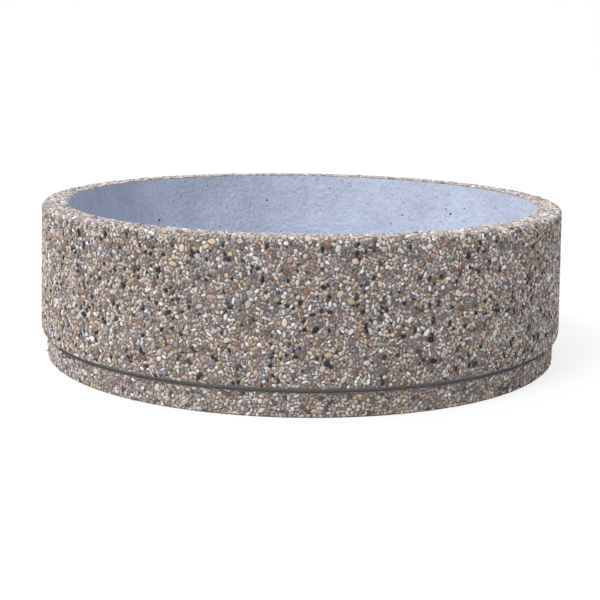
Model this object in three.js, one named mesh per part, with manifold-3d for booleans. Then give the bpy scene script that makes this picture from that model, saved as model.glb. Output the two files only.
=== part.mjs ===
// A round, low concrete bowl planter with an exposed-aggregate face, in millimetres, +Z up.
// The origin is the centre of the underside, on the ground. Every ring is turned about Z.
//
// From the ground up: a plinth disc, a recessed bed of mortar, and the bowl. The bowl is cast in
// two mixes, a pebble facing outside and over the rim, and a plain grey core inside it. Hoops lie
// in the back of the facing, bent bars and a welded mesh lie in the core, and drain sleeves and
// lifting sockets are cast into the floor.
import * as THREE from "three";
import { mergeVertices } from "three/addons/utils/BufferGeometryUtils.js";
import Module from "manifold-3d";

const wasm = await Module();
wasm.setup();

// ---------------------------------------------------------------- driving sizes

const HEIGHT = 350; // from the ground to the top of the rim
const BODY_RADIUS = 600; // outside, just above the body's lower edge
const BODY_TAPER = 8; // how much less the outside radius is at the rim
const RIM_WIDTH = 58; // across the top of the wall
const RIM_EDGE_RADIUS = 13; // rounding of the rim's outer edge
const INNER_EDGE_RADIUS = 4; // rounding of the rim's inner edge
const LOWER_EDGE_WIDTH = 9; // rounding of the body's lower edge, across
const LOWER_EDGE_HEIGHT = 20; // and up the wall
const INNER_DRAFT = 3; // degrees that the inside leans in towards the floor
const FLOOR_THICKNESS = 52; // of the bowl itself, above the mortar
const FLOOR_FILLET = 45; // between the inner wall and the floor

const FACING_THICKNESS = 24; // pebble mix on the outside
const RIM_FACING_DEPTH = 20; // and over the top of the wall
const WASHED_DEPTH = 2.4; // how far the cement is washed back behind the stones' tops
const FLUSH_STRIP = 8; // height of the strip over the joint where the cement stays flush
const STONE_PITCH = 54; // between rows of the largest stones
const STONE_STRAY = 0.33; // how far a stone strays from its place, as a share of the pitch
const STONE_LENGTH = 16; // of the largest stones
const STONE_WIDTH = 13;
const STONE_DEPTH = 1.5; // how deep a stone's edge lies in the cement

const PLINTH_HEIGHT = 51;
const PLINTH_SETBACK = 12; // of its side, behind the widest part of the body
const PLINTH_ARRIS = 4; // chamfer at the ground
const JOINT_HEIGHT = 7; // mortar between the plinth and the bowl
const JOINT_SETBACK = 4; // of the mortar's edge, behind the plinth's side

const HOOP_DIAMETER = 6;
const HOOP_COUNT = 3;
const HOOP_EDGE_COVER = 22; // concrete above the top hoop and below the lowest one
const WALL_BAR_DIAMETER = 6;
const WALL_BAR_COUNT = 12;
const WALL_BAR_TOP_COVER = 14; // core concrete above a wall bar
const WALL_BAR_BEND = 24; // radius of the bend into the floor, along the bar's middle
const WALL_BAR_LAP = 103; // how far the foot of the bar runs in under the floor mesh
const MESH_BAR_DIAMETER = 5;
const MESH_BARS = 5; // each way
const FLOOR_MESH_COVER = 95; // from the outside of the core to the floor mesh's ends
const PLINTH_MESH_COVER = 40; // from the plinth's side to its mesh's ends
const MESH_WELD = 0.6; // how deep crossing bars are sunk into each other

const SLEEVE_RADIUS = 25; // drain pipe, outside
const SLEEVE_WALL = 3;
const SLEEVE_SHORT = 2; // how far the pipe stops above the ground
const SOCKET_RADIUS = 10.5; // lifting socket's tube
const SOCKET_LENGTH = 32; // tube and plate together
const SOCKET_BORE = 7; // radius of the thread
const SOCKET_BORE_DEPTH = 24;
const SOCKET_PLATE_RADIUS = 23;
const SOCKET_PLATE_THICKNESS = 5;
const CAP_RADIUS = 14; // plastic cap's flange
const CAP_THICKNESS = 3;
const CAP_STEM_LENGTH = 12;

const GAP = 0.3; // between any two pieces that touch
const RING_STEPS = 72; // flats round the planter
const PIPE_STEPS = 20; // flats round a sleeve or a socket
const BAR_SIDES = 6; // flats round a reinforcing bar
const STONE_SIDES = 5; // flats round a large stone

// ---------------------------------------------------------------- sizes worked out

const jointBottom = PLINTH_HEIGHT;
const bowlBottom = jointBottom + JOINT_HEIGHT;
const floorTop = bowlBottom + FLOOR_THICKNESS;
const coreTop = HEIGHT - RIM_FACING_DEPTH - GAP;
const plinthRadius = BODY_RADIUS - PLINTH_SETBACK;
const jointRadius = plinthRadius - JOINT_SETBACK;
const sideLean = BODY_TAPER / (HEIGHT - bowlBottom); // outside radius lost for each unit of height
const draft = THREE.MathUtils.degToRad(INNER_DRAFT);

const outsideRadius = (z) => BODY_RADIUS - sideLean * (z - bowlBottom);
const washedRadius = (z) => outsideRadius(z) - WASHED_DEPTH;
const lowerEdgeZ = bowlBottom + LOWER_EDGE_HEIGHT;
const facingBack = (z) => outsideRadius(z) - FACING_THICKNESS;
const coreRadius = (z) => facingBack(z) - GAP;
const rimInside = outsideRadius(HEIGHT) - RIM_WIDTH;
const insideRadius = (z) => rimInside - (HEIGHT - z) * Math.tan(draft);

// Both meshes have one square grid, and the drains and sockets stand in the middle of its cells.
const floorMeshRadius = coreRadius(bowlBottom) - FLOOR_MESH_COVER;
const plinthMeshRadius = plinthRadius - PLINTH_MESH_COVER;
const meshPitch = (2 * floorMeshRadius) / (MESH_BARS + 1);
const outerBarOffset = ((MESH_BARS - 1) / 2) * meshPitch;
const midCellOffset = MESH_BARS % 2 ? meshPitch / 2 : 0;
const drainPlaces = quarters(outerBarOffset - meshPitch / 2, outerBarOffset - meshPitch / 2);
const socketPlaces = quarters(outerBarOffset + meshPitch / 2, midCellOffset);

// ---------------------------------------------------------------- helpers

// The same place in each quarter of the circle.
function quarters(x, y) {
  return [
    [x, y],
    [-y, x],
    [-x, -y],
    [y, -x],
  ];
}

// A number from -1 to 1 that looks random but is the same each time.
function scattered(number, use) {
  const wide = Math.sin(number * 12.9898 + use * 78.233) * 43758.5453;
  return 2 * (wide - Math.floor(wide)) - 1;
}

// Points of an arc in the (radius, height) plane, from one angle to another in degrees.
function arc(centreR, centreZ, radiusR, radiusZ, from, to, steps) {
  const points = [];
  for (let i = 0; i <= steps; i++) {
    const angle = THREE.MathUtils.degToRad(from + ((to - from) * i) / steps);
    points.push([centreR + radiusR * Math.cos(angle), centreZ + radiusZ * Math.sin(angle)]);
  }
  return points;
}

// A body turned about Z from (radius, height) points, which run anticlockwise round the section.
function turned(points, steps = RING_STEPS) {
  const outline = points.map(([r, z]) => new THREE.Vector2(r, z));
  const closed = points[0][0] > 0 || points[points.length - 1][0] > 0;
  if (closed) outline.push(outline[0].clone());
  return new THREE.LatheGeometry(outline, steps).rotateX(Math.PI / 2);
}

function cylinder(radius, low, high, x, y, steps = PIPE_STEPS) {
  const body = turned([[0, low], [radius, low], [radius, high], [0, high]], steps);
  return body.translate(x, y, 0);
}

// A box from one corner to the other.
function block(low, high) {
  const size = high.map((v, i) => v - low[i]);
  const middle = high.map((v, i) => (v + low[i]) / 2);
  return new THREE.BoxGeometry(...size).translate(...middle);
}

// A round bar along points in the plane y = 0, with flat ends. Its section has BAR_SIDES flats.
function bentBar(points, radius) {
  const positions = [];
  const faces = [];
  points.forEach(([r, z], i) => {
    const before = points[Math.max(i - 1, 0)];
    const after = points[Math.min(i + 1, points.length - 1)];
    const along = new THREE.Vector2(after[0] - before[0], after[1] - before[1]).normalize();
    for (let k = 0; k < BAR_SIDES; k++) {
      const angle = (2 * Math.PI * k) / BAR_SIDES;
      const across = radius * Math.cos(angle);
      positions.push(r + along.y * across, radius * Math.sin(angle), z - along.x * across);
    }
  });
  const last = (points.length - 1) * BAR_SIDES;
  for (let k = 0; k < BAR_SIDES; k++) {
    const next = (k + 1) % BAR_SIDES;
    for (let i = 0; i < last; i += BAR_SIDES) {
      faces.push(i + k, i + next, i + BAR_SIDES + next);
      faces.push(i + k, i + BAR_SIDES + next, i + BAR_SIDES + k);
    }
    if (k > 0 && k < BAR_SIDES - 1) {
      faces.push(0, k + 1, k);
      faces.push(last, last + k, last + k + 1);
    }
  }
  const bar = new THREE.BufferGeometry();
  bar.setAttribute("position", new THREE.Float32BufferAttribute(positions, 3));
  bar.setIndex(faces);
  return bar;
}

// A geometry as a solid that can be cut and joined, and back.
function solid(geometry) {
  const bare = geometry.clone();
  for (const name of Object.keys(bare.attributes)) {
    if (name !== "position") bare.deleteAttribute(name);
  }
  const merged = mergeVertices(bare, 1e-3);
  return new wasm.Manifold(
    new wasm.Mesh({
      numProp: 3,
      vertProperties: merged.attributes.position.array,
      triVerts: new Uint32Array(merged.index.array),
    }),
  );
}

function geometryOf(body) {
  const mesh = body.getMesh();
  const geometry = new THREE.BufferGeometry();
  geometry.setAttribute("position", new THREE.BufferAttribute(mesh.vertProperties, 3));
  geometry.setIndex(new THREE.BufferAttribute(mesh.triVerts, 1));
  geometry.computeVertexNormals();
  return geometry;
}

const cut = (body, cutters) => cutters.reduce((left, cutter) => left.subtract(solid(cutter)), body);

const planter = new THREE.Group();

function add(name, geometry, material, place = () => {}) {
  const mesh = new THREE.Mesh(geometry, material);
  mesh.name = name;
  place(mesh);
  planter.add(mesh);
}

// ---------------------------------------------------------------- materials

const finish = (color, roughness, metalness) =>
  new THREE.MeshStandardMaterial({ color, roughness, metalness });
const pebbleConcrete = finish(0x8f8379, 0.85, 0);
const greyConcrete = finish(0xa3aabb, 0.8, 0);
const mortar = finish(0x55565a, 0.9, 0);
const ribbedSteel = finish(0x6b5a4c, 0.7, 0.8);
const zincSteel = finish(0xa9adb0, 0.45, 0.9);
const drainPlastic = finish(0x6f7478, 0.5, 0);
const capPlastic = finish(0x2b2c2e, 0.55, 0);

// ---------------------------------------------------------------- reinforcement: sizes and beds

const hoopRadius = HOOP_DIAMETER / 2;
const hoopSlot = hoopRadius + GAP; // half the height of a hoop's groove
const lowestHoop = bowlBottom + HOOP_EDGE_COVER + hoopSlot;
const highestHoop = coreTop - HOOP_EDGE_COVER - hoopSlot;
const hoopHeights = Array.from(
  { length: HOOP_COUNT },
  (_, i) => lowestHoop + ((highestHoop - lowestHoop) * i) / Math.max(HOOP_COUNT - 1, 1),
);

// The middle of a wall bar: down the back of the facing, round the bend and in under the floor.
const barRadius = WALL_BAR_DIAMETER / 2;
const flatShare = Math.cos(Math.PI / RING_STEPS); // how far in a flat's middle lies
const barLine = (z) => coreRadius(z) * flatShare - GAP - barRadius;
const barTop = coreTop - WALL_BAR_TOP_COVER;
const legHeight = bowlBottom + GAP + barRadius;
const bendCentreZ = legHeight + WALL_BAR_BEND;
const bendCentreR = barLine(bendCentreZ) - WALL_BAR_BEND;
const barFoot = floorMeshRadius - WALL_BAR_LAP;
const wallBarPath = [
  [barFoot, legHeight],
  ...arc(bendCentreR, bendCentreZ, WALL_BAR_BEND, WALL_BAR_BEND, -90, 0, 4),
  [barLine(barTop), barTop],
];

// The groove of a wall bar, open to the outside of the core and to its underside.
function wallBarGroove() {
  const reach = barRadius + GAP;
  const outside = coreRadius(bowlBottom) + GAP;
  const under = bowlBottom - GAP;
  const bend = WALL_BAR_BEND - reach;
  const outline = [
    [barFoot - GAP, legHeight + reach],
    ...arc(bendCentreR, bendCentreZ, bend, bend, -90, 0, 4),
    [barLine(barTop) - reach, barTop + GAP],
    [outside, barTop + GAP],
    [outside, under],
    [barFoot - GAP, under],
  ];
  const shape = new THREE.Shape(outline.map(([r, z]) => new THREE.Vector2(r, z)));
  const width = 2 * reach;
  const slab = new THREE.ExtrudeGeometry(shape, { depth: width, bevelEnabled: false, steps: 1 });
  return slab.rotateX(Math.PI / 2).translate(0, width / 2, 0);
}

// Two layers of bars at right angles. The lower layer's bars run along X.
const meshRadiusOfBar = MESH_BAR_DIAMETER / 2;
const layerStep = MESH_BAR_DIAMETER - MESH_WELD;

function meshLayers(radius, lowerLayerZ) {
  const bars = [];
  for (let i = 0; i < MESH_BARS; i++) {
    const offset = (i - (MESH_BARS - 1) / 2) * meshPitch;
    const half = Math.sqrt(radius * radius - offset * offset);
    bars.push({ offset, half, alongX: true, z: lowerLayerZ });
    bars.push({ offset, half, alongX: false, z: lowerLayerZ + layerStep });
  }
  return bars;
}

function weldedMesh(bars) {
  const rods = bars.map((bar) => {
    const rod = bentBar([[-bar.half, bar.z], [bar.half, bar.z]], meshRadiusOfBar);
    rod.translate(0, bar.offset, 0);
    return solid(bar.alongX ? rod : rod.rotateZ(Math.PI / 2));
  });
  return geometryOf(rods.reduce((all, rod) => all.add(rod)));
}

// Slots that hold a mesh's bars and run down, or up, to the face at openZ.
function meshSlots(bars, openZ) {
  const reach = meshRadiusOfBar + GAP;
  return bars.map(({ offset, half, alongX, z }) => {
    const low = Math.min(openZ, z - reach);
    const high = Math.max(openZ, z + reach);
    const slot = block([-half - GAP, offset - reach, low], [half + GAP, offset + reach, high]);
    return alongX ? slot : slot.rotateZ(Math.PI / 2);
  });
}

const floorMeshZ = legHeight + barRadius + GAP + meshRadiusOfBar;
const floorMeshBars = meshLayers(floorMeshRadius, floorMeshZ);
const plinthMeshZ = jointBottom - GAP - meshRadiusOfBar - layerStep;
const plinthMeshBars = meshLayers(plinthMeshRadius, plinthMeshZ);

// ---------------------------------------------------------------- concrete

const sleeveHole = SLEEVE_RADIUS + GAP;

function drainHoles(low, high) {
  return drainPlaces.map(([x, y]) => cylinder(sleeveHole, low - 1, high + 1, x, y));
}

// One of the largest stones: a low dome out of the washed face, with its edge sunk in the cement.
function largeStone(angle, z, size, turn, stand) {
  const place = (across, up, out) => {
    const radius = washedRadius(z + up) + out;
    const x = radius * Math.cos(angle) - across * Math.sin(angle);
    return [x, radius * Math.sin(angle) + across * Math.cos(angle), z + up];
  };
  const ring = (share, out) =>
    Array.from({ length: STONE_SIDES }, (_, k) => {
      const step = (2 * Math.PI * k) / STONE_SIDES;
      const along = (STONE_LENGTH / 2) * size * share * Math.cos(step);
      const over = (STONE_WIDTH / 2) * size * share * Math.sin(step);
      const across = along * Math.cos(turn) - over * Math.sin(turn);
      return place(across, along * Math.sin(turn) + over * Math.cos(turn), out);
    });
  return wasm.Manifold.hull([...ring(1, -STONE_DEPTH), ...ring(0.68, 0.7 * stand), place(0, 0, stand)]);
}

// The largest stones, in rows from one height to another, with one on each flat in a row. They stray
// about their flat, except for four that stand on the X and Y axes where the bowl is widest, and so
// set its width.
function largeStones(low, high) {
  const rows = Math.max(Math.round((high - low) / STONE_PITCH), 1);
  const rise = (high - low) / rows;
  const stones = [];
  for (let number = 0; number < rows * RING_STEPS; number++) {
    const row = Math.floor(number / RING_STEPS);
    const flat = number % RING_STEPS;
    const onAxis = row === 0 && (4 * flat) % RING_STEPS === 0;
    const column = onAxis ? flat : flat + 0.5 + STONE_STRAY * scattered(number, 1);
    const upward = row === 0 ? Math.abs(scattered(number, 2)) : scattered(number, 2);
    const height = onAxis ? low : low + rise * (row + STONE_STRAY * upward);
    const size = onAxis ? 1 : 0.86 + 0.14 * scattered(number, 3);
    const stand = onAxis ? BODY_RADIUS - washedRadius(low) : WASHED_DEPTH;
    const angle = (2 * Math.PI * column) / RING_STEPS;
    stones.push(largeStone(angle, height, size, Math.PI * scattered(number, 4), stand));
  }
  return stones;
}

function facingWall() {
  const roundZ = HEIGHT - RIM_EDGE_RADIUS;
  const roundR = outsideRadius(roundZ) - RIM_EDGE_RADIUS;
  const innerEdgeZ = HEIGHT - INNER_EDGE_RADIUS;
  const innerEdgeR = insideRadius(innerEdgeZ) + INNER_EDGE_RADIUS;
  const underRim = HEIGHT - RIM_FACING_DEPTH;
  const grooves = [...hoopHeights].reverse().flatMap((z) => {
    const deep = facingBack(z) + HOOP_DIAMETER + 2 * GAP;
    const top = z + hoopSlot;
    const bottom = z - hoopSlot;
    return [
      [facingBack(top), top],
      [deep, top],
      [deep, bottom],
      [facingBack(bottom), bottom],
    ];
  });
  const lowerEdgeR = BODY_RADIUS - LOWER_EDGE_WIDTH;
  const stripShare = Math.min(FLUSH_STRIP / LOWER_EDGE_HEIGHT, 1);
  const stripEnd = THREE.MathUtils.radToDeg(Math.asin(stripShare - 1));
  const wall = turned([
    [facingBack(bowlBottom), bowlBottom],
    ...arc(lowerEdgeR, lowerEdgeZ, LOWER_EDGE_WIDTH, LOWER_EDGE_HEIGHT, -90, stripEnd, 2),
    [washedRadius(lowerEdgeZ), lowerEdgeZ],
    ...arc(roundR, roundZ, RIM_EDGE_RADIUS - WASHED_DEPTH, RIM_EDGE_RADIUS, 0, 90, 4),
    ...arc(innerEdgeR, innerEdgeZ, INNER_EDGE_RADIUS, INNER_EDGE_RADIUS, 90, 180, 2),
    [insideRadius(underRim), underRim],
    [facingBack(underRim), underRim],
    ...grooves,
  ]);
  return geometryOf(wasm.Manifold.union([solid(wall), ...largeStones(lowerEdgeZ, roundZ)]));
}

function bowlCore() {
  const filletZ = floorTop + FLOOR_FILLET;
  const filletR = insideRadius(filletZ) - FLOOR_FILLET / Math.cos(draft);
  const body = turned([
    [0, bowlBottom],
    [coreRadius(bowlBottom), bowlBottom],
    [coreRadius(coreTop), coreTop],
    [insideRadius(coreTop), coreTop],
    ...arc(filletR, filletZ, FLOOR_FILLET, FLOOR_FILLET, -INNER_DRAFT, -90, 5),
    [0, floorTop],
  ]);
  const grooves = Array.from({ length: WALL_BAR_COUNT }, (_, i) =>
    wallBarGroove().rotateZ((2 * Math.PI * i) / WALL_BAR_COUNT),
  );
  return geometryOf(
    cut(solid(body), [
      ...grooves,
      ...meshSlots(floorMeshBars, bowlBottom - GAP),
      ...drainHoles(bowlBottom, floorTop),
      ...socketPlaces.map(([x, y]) => socketBed().translate(x, y, 0)),
    ]),
  );
}

function mortarBed() {
  const low = jointBottom + GAP;
  const high = bowlBottom - GAP;
  const disc = turned([[0, low], [jointRadius, low], [jointRadius, high], [0, high]]);
  return geometryOf(cut(solid(disc), drainHoles(low, high)));
}

function plinth() {
  const disc = turned([
    [0, 0],
    [plinthRadius - PLINTH_ARRIS, 0],
    [plinthRadius, PLINTH_ARRIS],
    [plinthRadius, jointBottom],
    [0, jointBottom],
  ]);
  return geometryOf(
    cut(solid(disc), [
      ...meshSlots(plinthMeshBars, jointBottom + GAP),
      ...drainHoles(0, jointBottom),
    ]),
  );
}

// ---------------------------------------------------------------- pieces cast in

// A hoop round the planter, with its middle at a radius and a height.
function hoop(radius, z) {
  return turned(arc(radius, z, hoopRadius, hoopRadius, 0, 360 - 360 / BAR_SIDES, BAR_SIDES - 1));
}

function drainSleeve() {
  const inner = SLEEVE_RADIUS - SLEEVE_WALL;
  return turned(
    [[inner, SLEEVE_SHORT], [SLEEVE_RADIUS, SLEEVE_SHORT], [SLEEVE_RADIUS, floorTop], [inner, floorTop]],
    PIPE_STEPS,
  );
}

const socketTop = floorTop - CAP_THICKNESS - GAP;
const socketBottom = socketTop - SOCKET_LENGTH;
const plateTop = socketBottom + SOCKET_PLATE_THICKNESS;

function liftingSocket() {
  const boreBottom = socketTop - SOCKET_BORE_DEPTH;
  return turned(
    [
      [0, socketBottom],
      [SOCKET_PLATE_RADIUS, socketBottom],
      [SOCKET_PLATE_RADIUS, plateTop],
      [SOCKET_RADIUS, plateTop],
      [SOCKET_RADIUS, socketTop],
      [SOCKET_BORE, socketTop],
      [SOCKET_BORE, boreBottom],
      [0, boreBottom],
    ],
    PIPE_STEPS,
  );
}

// The room in the floor for a socket and its cap.
function socketBed() {
  return turned(
    [
      [0, socketBottom - GAP],
      [SOCKET_PLATE_RADIUS + GAP, socketBottom - GAP],
      [SOCKET_PLATE_RADIUS + GAP, plateTop + GAP],
      [SOCKET_RADIUS + GAP, plateTop + GAP],
      [SOCKET_RADIUS + GAP, socketTop],
      [CAP_RADIUS + GAP, socketTop],
      [CAP_RADIUS + GAP, floorTop + 1],
      [0, floorTop + 1],
    ],
    PIPE_STEPS,
  );
}

function socketCap() {
  const flangeBottom = floorTop - CAP_THICKNESS;
  const stem = SOCKET_BORE - GAP;
  return turned(
    [
      [0, flangeBottom - CAP_STEM_LENGTH],
      [stem, flangeBottom - CAP_STEM_LENGTH],
      [stem, flangeBottom],
      [CAP_RADIUS, flangeBottom],
      [CAP_RADIUS, floorTop],
      [0, floorTop],
    ],
    PIPE_STEPS,
  );
}

// ---------------------------------------------------------------- assembly

add("plinth", plinth(), pebbleConcrete);
add("plinth_mesh", weldedMesh(plinthMeshBars), ribbedSteel);
add("mortar_bed", mortarBed(), mortar);
add("bowl_core", bowlCore(), greyConcrete);
add("facing_wall", facingWall(), pebbleConcrete);

hoopHeights.forEach((z, i) => {
  const line = facingBack(z) + GAP + hoopRadius;
  add(`wall_hoop_${i + 1}`, hoop(line, z), ribbedSteel);
});

for (let i = 0; i < WALL_BAR_COUNT; i++) {
  add(`wall_bar_${i + 1}`, bentBar(wallBarPath, barRadius), ribbedSteel, (bar) => {
    bar.rotation.z = (2 * Math.PI * i) / WALL_BAR_COUNT;
  });
}
add("floor_mesh", weldedMesh(floorMeshBars), ribbedSteel);

drainPlaces.forEach(([x, y], i) => {
  add(`drain_sleeve_${i + 1}`, drainSleeve(), drainPlastic, (sleeve) => sleeve.position.set(x, y, 0));
});
socketPlaces.forEach(([x, y], i) => {
  add(`lifting_socket_${i + 1}`, liftingSocket(), zincSteel, (part) => part.position.set(x, y, 0));
  add(`socket_cap_${i + 1}`, socketCap(), capPlastic, (part) => part.position.set(x, y, 0));
});

export default planter;
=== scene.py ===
"""A round, low concrete bowl planter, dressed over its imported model.

The wall, the rim and the foot are grey cement with real pebbles set in it, and the inside is smooth
cement with air holes. All lengths are in metres, in the frame's own place.
"""
import math

import bmesh
import bpy
import numpy as np
from mathutils import Matrix, Vector


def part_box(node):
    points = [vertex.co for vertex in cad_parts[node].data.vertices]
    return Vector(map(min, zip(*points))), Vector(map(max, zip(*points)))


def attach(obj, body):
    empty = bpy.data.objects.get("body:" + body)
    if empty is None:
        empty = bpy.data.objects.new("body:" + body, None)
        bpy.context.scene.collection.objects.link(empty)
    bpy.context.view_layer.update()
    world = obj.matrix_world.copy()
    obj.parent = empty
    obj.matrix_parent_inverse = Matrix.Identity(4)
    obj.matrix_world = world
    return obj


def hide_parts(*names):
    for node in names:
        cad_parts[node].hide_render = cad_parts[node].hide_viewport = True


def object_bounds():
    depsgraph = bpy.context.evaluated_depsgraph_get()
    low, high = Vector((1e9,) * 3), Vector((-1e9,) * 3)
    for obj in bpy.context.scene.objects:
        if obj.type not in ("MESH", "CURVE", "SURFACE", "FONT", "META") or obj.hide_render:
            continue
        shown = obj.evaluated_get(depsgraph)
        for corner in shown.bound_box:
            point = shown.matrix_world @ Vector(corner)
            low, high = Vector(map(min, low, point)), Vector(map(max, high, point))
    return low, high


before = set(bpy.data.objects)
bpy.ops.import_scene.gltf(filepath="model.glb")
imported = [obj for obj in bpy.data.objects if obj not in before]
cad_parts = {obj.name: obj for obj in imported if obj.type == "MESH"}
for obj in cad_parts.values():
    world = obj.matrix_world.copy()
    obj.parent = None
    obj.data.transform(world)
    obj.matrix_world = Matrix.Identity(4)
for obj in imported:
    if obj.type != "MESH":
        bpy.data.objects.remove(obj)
cad_low, cad_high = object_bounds()

MM = 0.001
TURN = 2 * math.pi

# ---------------------------------------------------------------- sizes

HEIGHT = cad_high.z
BODY_RADIUS = cad_high.x
BOWL_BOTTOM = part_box("bowl_core")[0].z
FLOOR_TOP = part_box("drain_sleeve_1")[1].z
PLINTH_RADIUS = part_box("plinth")[1].x
PLINTH_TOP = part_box("plinth")[1].z
MORTAR_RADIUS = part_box("mortar_bed")[1].x
CORE_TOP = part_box("bowl_core")[1].z
FACING_UNDER_RIM = CORE_TOP + 0.3 * MM  # the facing's flat underside, which rests on the core

BODY_TAPER = 8 * MM  # outside radius lost from the lower edge to the rim
RIM_WIDTH = 58 * MM
RIM_EDGE = 13 * MM  # radius of the rim's outer edge
INNER_EDGE = 4 * MM  # and of its inner edge
LOWER_EDGE = (9 * MM, 20 * MM)  # the bowl's rounded lower edge, inwards and upwards
DRAFT = math.radians(3)  # lean of the inside wall
FLOOR_FILLET = 45 * MM
PLINTH_ARRIS = 4 * MM
SLEEVE_WALL = 3 * MM
CAP_FLANGE = 3 * MM
CAP_STEM = 6.7 * MM

RELIEF = 3.0 * MM  # how far the cement lies behind the tops of the tallest pebbles
STRIP_RELIEF = 0.7 * MM  # and in the strip just over the joint, where it stays flush
STRIP = (BOWL_BOTTOM + 3 * MM, BOWL_BOTTOM + 8 * MM)
EMBEDDED = 0.8 * MM  # how deep a pebble's edge lies under the cement
WIDER = 4 * MM  # how much the solid's outside is widened, so that the cement's own surface cuts it
SKIN = 0.8 * MM  # taken off the cast face of the inside, to leave room for its ripple
SMOOTH_STRIP = 2.3 * MM  # how far behind the cast face the smooth cement reaches in the facing
CLEAR = 0.02 * MM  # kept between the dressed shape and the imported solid's own limits
PAST = 1 * MM  # how far a cutting body runs past what it cuts

WALL_COLUMNS = 840  # steps round the outside's cement
CAVITY_COLUMNS = 625
JOINT_COLUMNS = 720
PIPE_COLUMNS = 64


def outside_radius(z):
    return BODY_RADIUS - BODY_TAPER * (z - BOWL_BOTTOM) / (HEIGHT - BOWL_BOTTOM)


def inside_radius(z):
    return BODY_RADIUS - BODY_TAPER - RIM_WIDTH - (HEIGHT - z) * math.tan(DRAFT)


# ---------------------------------------------------------------- outlines


def arc(centre, radii, start, end, steps=40):
    """Points of an arc in the (radius, height) plane, from one angle to another in degrees."""
    angles = np.radians(np.linspace(start, end, steps + 1))
    return [(centre[0] + radii[0] * math.cos(a), centre[1] + radii[1] * math.sin(a)) for a in angles]


class Outline:
    """A curve in the (radius, height) plane, measured by the length along it.

    Its outward side is on the right of its direction, and relief(z) is how far back the cement lies.
    """

    STEP = 0.5 * MM

    def __init__(self, points, relief):
        points = np.array(points, float)
        along = np.concatenate([[0], np.cumsum(np.hypot(*np.diff(points, axis=0).T))])
        self.length = along[-1]
        self.s = np.linspace(0, self.length, int(self.length / self.STEP) + 1)
        self.r = np.interp(self.s, along, points[:, 0])
        self.z = np.interp(self.s, along, points[:, 1])
        across, up = np.gradient(self.r, self.s), np.gradient(self.z, self.s)
        size = np.hypot(across, up)
        self.out_r, self.out_z = up / size, -across / size
        self.relief = relief(self.z)

    def at(self, s):
        """Radius, height, the outward normal's two parts and the relief, at lengths s."""
        curves = (self.r, self.z, self.out_r, self.out_z, self.relief)
        return [np.interp(s, self.s, curve) for curve in curves]

    def point(self, angle, s, height):
        """Points at angles round the planter and lengths s, so high over the nominal surface."""
        r, z, out_r, out_z, _ = self.at(s)
        reach = r + out_r * height
        return np.stack([reach * np.cos(angle), reach * np.sin(angle), z + out_z * height], axis=-1)


def body_outline():
    """The outside of the bowl, from its lower edge over the rim to just inside it."""
    lower = (BODY_RADIUS - LOWER_EDGE[0], BOWL_BOTTOM + LOWER_EDGE[1])
    edge_z = HEIGHT - RIM_EDGE
    edge = (outside_radius(edge_z) - RIM_EDGE, edge_z)
    inner_z = HEIGHT - INNER_EDGE
    inner = (inside_radius(inner_z) + INNER_EDGE, inner_z)
    points = [
        *arc(lower, LOWER_EDGE, -90, 0),
        *arc(edge, (RIM_EDGE, RIM_EDGE), 0, 90),
        *arc(inner, (INNER_EDGE, INNER_EDGE), 90, 160),
    ]
    return Outline(points, lambda z: np.interp(z, STRIP, (STRIP_RELIEF, RELIEF)))


def plinth_outline():
    """The side of the foot, from the ground up."""
    points = [
        (PLINTH_RADIUS - PLINTH_ARRIS, 0),
        (PLINTH_RADIUS, PLINTH_ARRIS),
        (PLINTH_RADIUS, PLINTH_TOP),
    ]
    return Outline(points, lambda z: np.full_like(z, RELIEF))


def cavity_outline():
    """The inside of the bowl, from near the middle of the floor to above the rim."""
    above = HEIGHT + 6 * MM
    fillet_z = FLOOR_TOP + FLOOR_FILLET
    fillet = (inside_radius(fillet_z) - FLOOR_FILLET / math.cos(DRAFT), fillet_z)
    points = [
        (8 * MM, FLOOR_TOP),
        *arc(fillet, (FLOOR_FILLET, FLOOR_FILLET), -90, -math.degrees(DRAFT)),
        (inside_radius(above), above),
    ]
    return Outline(points, np.zeros_like)


# ---------------------------------------------------------------- meshes


def new_piece(name, points, corners, sizes):
    """An object from points, the point numbers of its faces one after another, and each face's size."""
    mesh = bpy.data.meshes.new(name)
    mesh.vertices.add(len(points))
    mesh.vertices.foreach_set("co", np.asarray(points, np.float32).ravel())
    mesh.loops.add(len(corners))
    mesh.loops.foreach_set("vertex_index", np.asarray(corners, np.int32))
    mesh.polygons.add(len(sizes))
    starts = np.concatenate([[0], np.cumsum(sizes)[:-1]])
    mesh.polygons.foreach_set("loop_start", starts.astype(np.int32))
    mesh.update(calc_edges=True)
    mesh.shade_smooth()
    piece = bpy.data.objects.new(name, mesh)
    bpy.context.collection.objects.link(piece)
    return piece


def ripple(points, wavelength, rng, waves=20):
    """A smooth random height at each point, about 1 in size, with bumps about a wavelength apart."""
    direction = rng.normal(size=(waves, 3))
    direction /= np.linalg.norm(direction, axis=1, keepdims=True)
    stretch = TURN / (wavelength * rng.uniform(0.7, 1.6, size=(waves, 1)))
    phase = rng.uniform(0, TURN, size=waves)
    return np.cos(points @ (direction * stretch).T + phase).sum(axis=-1) * math.sqrt(2 / waves)


def grid_faces(rows, columns):
    """The corners of a grid of quads that closes on itself round Z."""
    across = np.arange(columns)
    beside = (across + 1) % columns
    row = np.arange(rows - 1)[:, None] * columns
    quads = np.stack([row + across, row + beside, row + columns + beside, row + columns + across], -1)
    return quads.reshape(-1, 4)


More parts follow.
